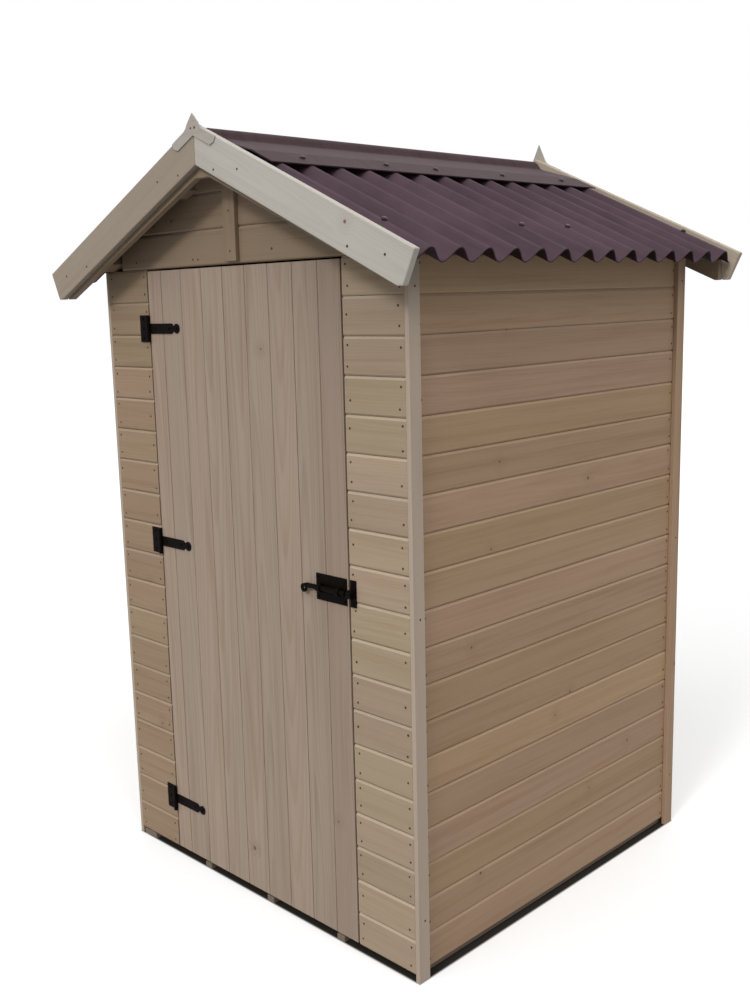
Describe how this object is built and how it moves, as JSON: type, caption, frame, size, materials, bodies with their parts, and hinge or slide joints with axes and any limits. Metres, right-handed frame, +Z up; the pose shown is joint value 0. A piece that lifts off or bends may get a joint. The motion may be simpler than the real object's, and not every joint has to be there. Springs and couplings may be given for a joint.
{
  "type": "wooden garden shed",
  "caption": "Small apex garden shed of horizontal boards with a plank door on T-hinges, a pad bolt and a corrugated roof between pale bargeboards.",
  "frame": {"origin": "centre of the roof's rectangle in plan, which is the centre of the shed, on the ground that the joists and corner strips stand on", "axes": "+X to the right seen from the door side, +Y from the door towards the rear wall, +Z up"},
  "size_m": [1.38, 1.388, 2.0581],
  "materials": {
    "wall_boards": "dip-treated softwood boards, matt greyish beige",
    "side_boards": "dip-treated softwood boards, matt brownish",
    "door_boards": "dip-treated softwood boards, matt",
    "frame_timber": "sawn softwood, matt",
    "corner_strips": "planed softwood, pale and matt",
    "bargeboards": "planed softwood, pale and matt",
    "roofing": "corrugated bitumen-fibre sheet, matt plum brown",
    "ironwork": "black japanned steel, satin"
  },
  "bodies": {
    "shed": {"floor_deck": "frame_timber", "floor_joists": "frame_timber", "front_wall_left": "wall_boards", "front_wall_right": "wall_boards", "front_gable": "wall_boards", "left_wall": "side_boards", "right_wall": "side_boards", "rear_wall": "wall_boards", "rear_gable": "wall_boards", "corner_strip_front_left": "corner_strips", "corner_strip_front_right": "corner_strips", "corner_strip_rear_left": "corner_strips", "corner_strip_rear_right": "corner_strips", "front_posts": "frame_timber", "door_jambs": "frame_timber", "front_rails": "frame_timber", "rear_posts": "frame_timber", "rear_rails": "frame_timber", "left_studs": "frame_timber", "left_rails": "frame_timber", "right_studs": "frame_timber", "right_rails": "frame_timber", "gable_rails": "frame_timber", "gable_strip": "wall_boards", "eave_purlins": "frame_timber", "upper_purlins": "frame_timber", "front_rafters": "frame_timber", "rear_rafters": "frame_timber", "roof_sheet_left": "roofing", "roof_sheet_right": "roofing", "ridge_cap": "roofing", "bargeboard_front_left": "bargeboards", "bargeboard_front_right": "bargeboards", "bargeboard_rear_left": "bargeboards", "bargeboard_rear_right": "bargeboards", "finial_front": "bargeboards", "finial_rear": "bargeboards", "hinge_plates": "ironwork", "bolt_keeper": "ironwork"},
    "door": {"door_leaf": "door_boards", "door_ledges": "door_boards", "door_braces": "door_boards", "hinge_straps": "ironwork", "bolt_plate": "ironwork"},
    "bolt": {"sliding_bolt": "ironwork"}
  },
  "joints": [
    {"name": "door_hinge", "type": "hinge", "parent": "shed", "child": "door", "pos_m": [-0.37375, -0.581, 0.944], "axis": [0, 0, -1], "range_deg": [0, 120]},
    {"name": "bolt_slide", "type": "slide", "parent": "door", "child": "bolt", "axis": [1, 0, 0], "range_m": [0, 0.032]}
  ]
}
